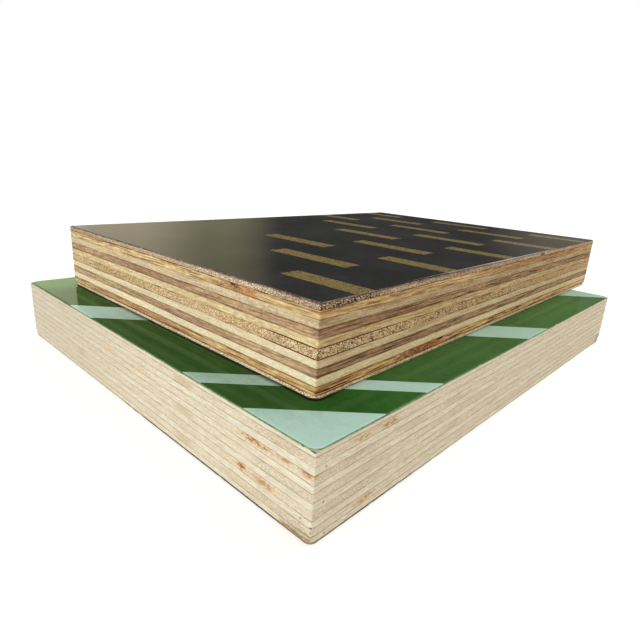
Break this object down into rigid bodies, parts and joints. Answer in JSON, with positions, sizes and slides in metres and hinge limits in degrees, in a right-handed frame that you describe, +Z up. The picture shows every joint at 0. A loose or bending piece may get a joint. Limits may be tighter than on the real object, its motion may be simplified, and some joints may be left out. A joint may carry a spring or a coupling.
{
  "type": "stack of plywood sheets",
  "caption": "Sawn pieces of film-faced plywood stacked one on the other, a dark-filmed sheet askew on a wider green-filmed one, with every veneer showing on the sawn edges.",
  "frame": {"origin": "middle of the lower sheet's underside, on the surface that the stack lies on", "axes": "+Z up through both sheets; +Y along the sheets' long side; +X along the lower sheet's short side"},
  "size_m": [0.127, 0.1723, 0.0359],
  "materials": {
    "dark_film": "glossy dark brown-black film with a worn gold screen print of plain dashes",
    "green_film": "glossy green plastic film with a plain mint stripe print",
    "flecked_veneer": "sawn edge of porous beige hardwood veneer with dark brown flecks",
    "orange_veneer": "sawn edge of streaky orange-tan veneer",
    "pale_veneer": "sawn edge of smooth cream veneer",
    "brown_veneer": "sawn edge of brown veneer with dark borders",
    "cream_veneer": "sawn edge of pale cream veneer with long grain",
    "cream_endgrain_veneer": "sawn edge of pale cream veneer with open pores and orange stains"
  },
  "bodies": {
    "root": {"lower_back_film": "dark_film", "lower_ply_11_back": "cream_veneer", "lower_ply_10_crossband": "cream_endgrain_veneer", "lower_ply_09_longband": "cream_veneer", "lower_ply_08_crossband": "cream_endgrain_veneer", "lower_ply_07_longband": "cream_veneer", "lower_ply_06_centre": "cream_endgrain_veneer", "lower_ply_05_longband": "cream_veneer", "lower_ply_04_crossband": "cream_endgrain_veneer", "lower_ply_03_longband": "cream_veneer", "lower_ply_02_crossband": "cream_endgrain_veneer", "lower_ply_01_face": "cream_veneer", "lower_top_film": "green_film", "upper_back_film": "dark_film", "upper_ply_11_back": "flecked_veneer", "upper_ply_10_crossband": "orange_veneer", "upper_ply_09_longband": "pale_veneer", "upper_ply_08_crossband": "brown_veneer", "upper_ply_07_longband": "pale_veneer", "upper_ply_06_centre": "flecked_veneer", "upper_ply_05_longband": "pale_veneer", "upper_ply_04_crossband": "brown_veneer", "upper_ply_03_longband": "pale_veneer", "upper_ply_02_crossband": "orange_veneer", "upper_ply_01_face": "flecked_veneer", "upper_top_film": "dark_film"}
  },
  "joints": []
}
